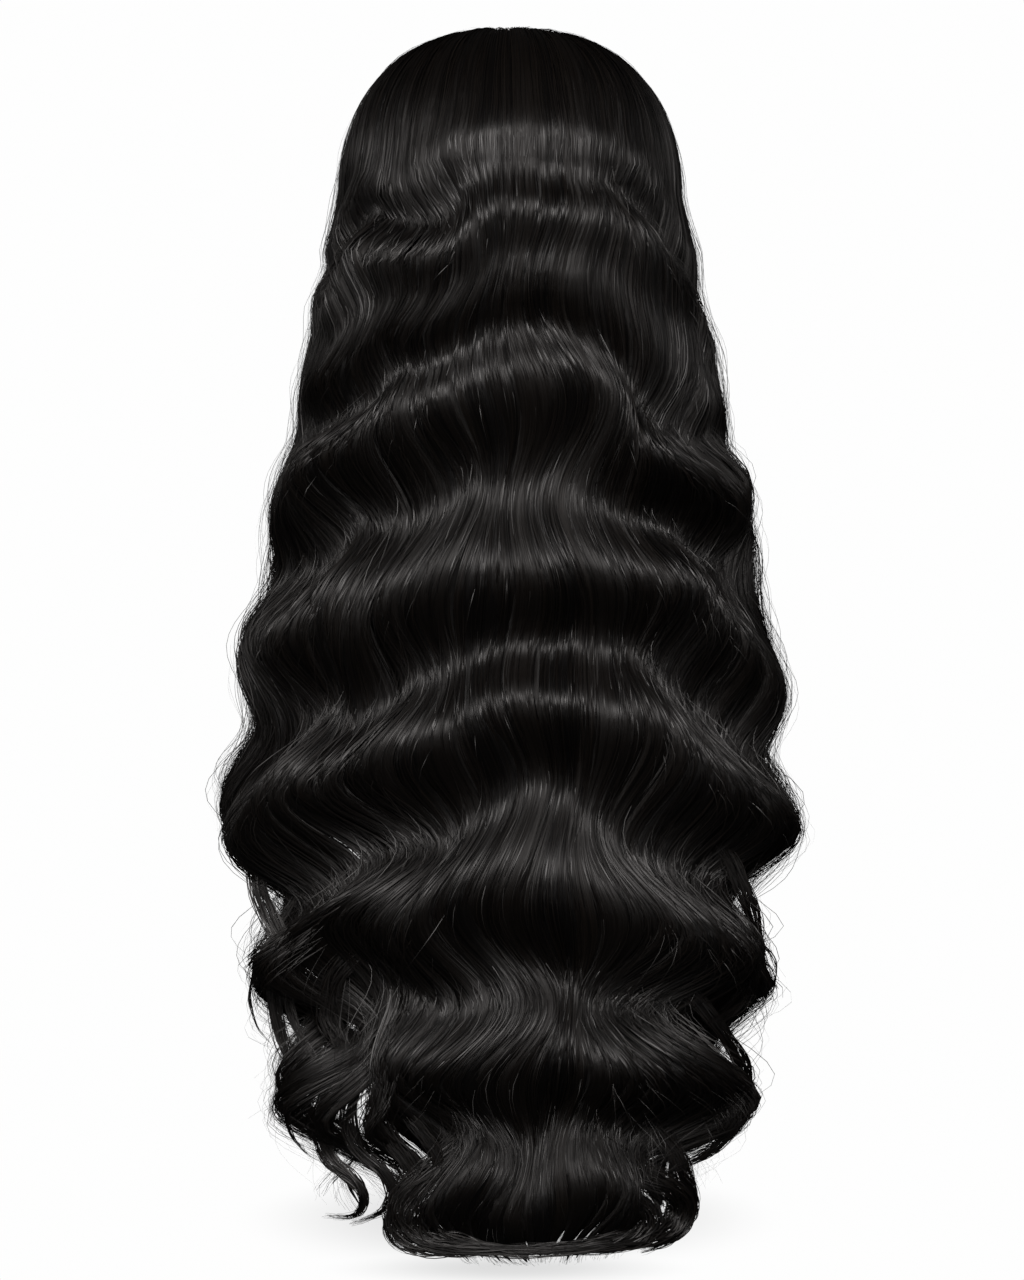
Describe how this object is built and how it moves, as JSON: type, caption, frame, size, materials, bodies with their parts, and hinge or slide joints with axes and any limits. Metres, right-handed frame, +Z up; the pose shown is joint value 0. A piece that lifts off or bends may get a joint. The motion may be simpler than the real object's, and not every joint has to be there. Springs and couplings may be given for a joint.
{
  "type": "lace closure wig",
  "caption": "Very long wavy wig: a stretch cap with a lace panel set into its front, and hair sections sewn to it that hang below the waist.",
  "frame": {"origin": "top of the inside of the cap, where the crown of the head sits", "axes": "+Z up, the face looks along -Y, and the wearer's left is +X"},
  "size_m": [0.3714, 0.2201, 0.8116],
  "materials": {
    "cap_net": "matt black stretch net",
    "lace": "fine brown lace",
    "hair": "glossy natural black hair"
  },
  "bodies": {
    "root": {"wig_cap": "cap_net", "lace_closure": "lace", "closure_hair_right": "hair", "side_wefts_right": "hair", "back_wefts": "hair", "side_wefts_left": "hair", "closure_hair_left": "hair"}
  },
  "joints": []
}
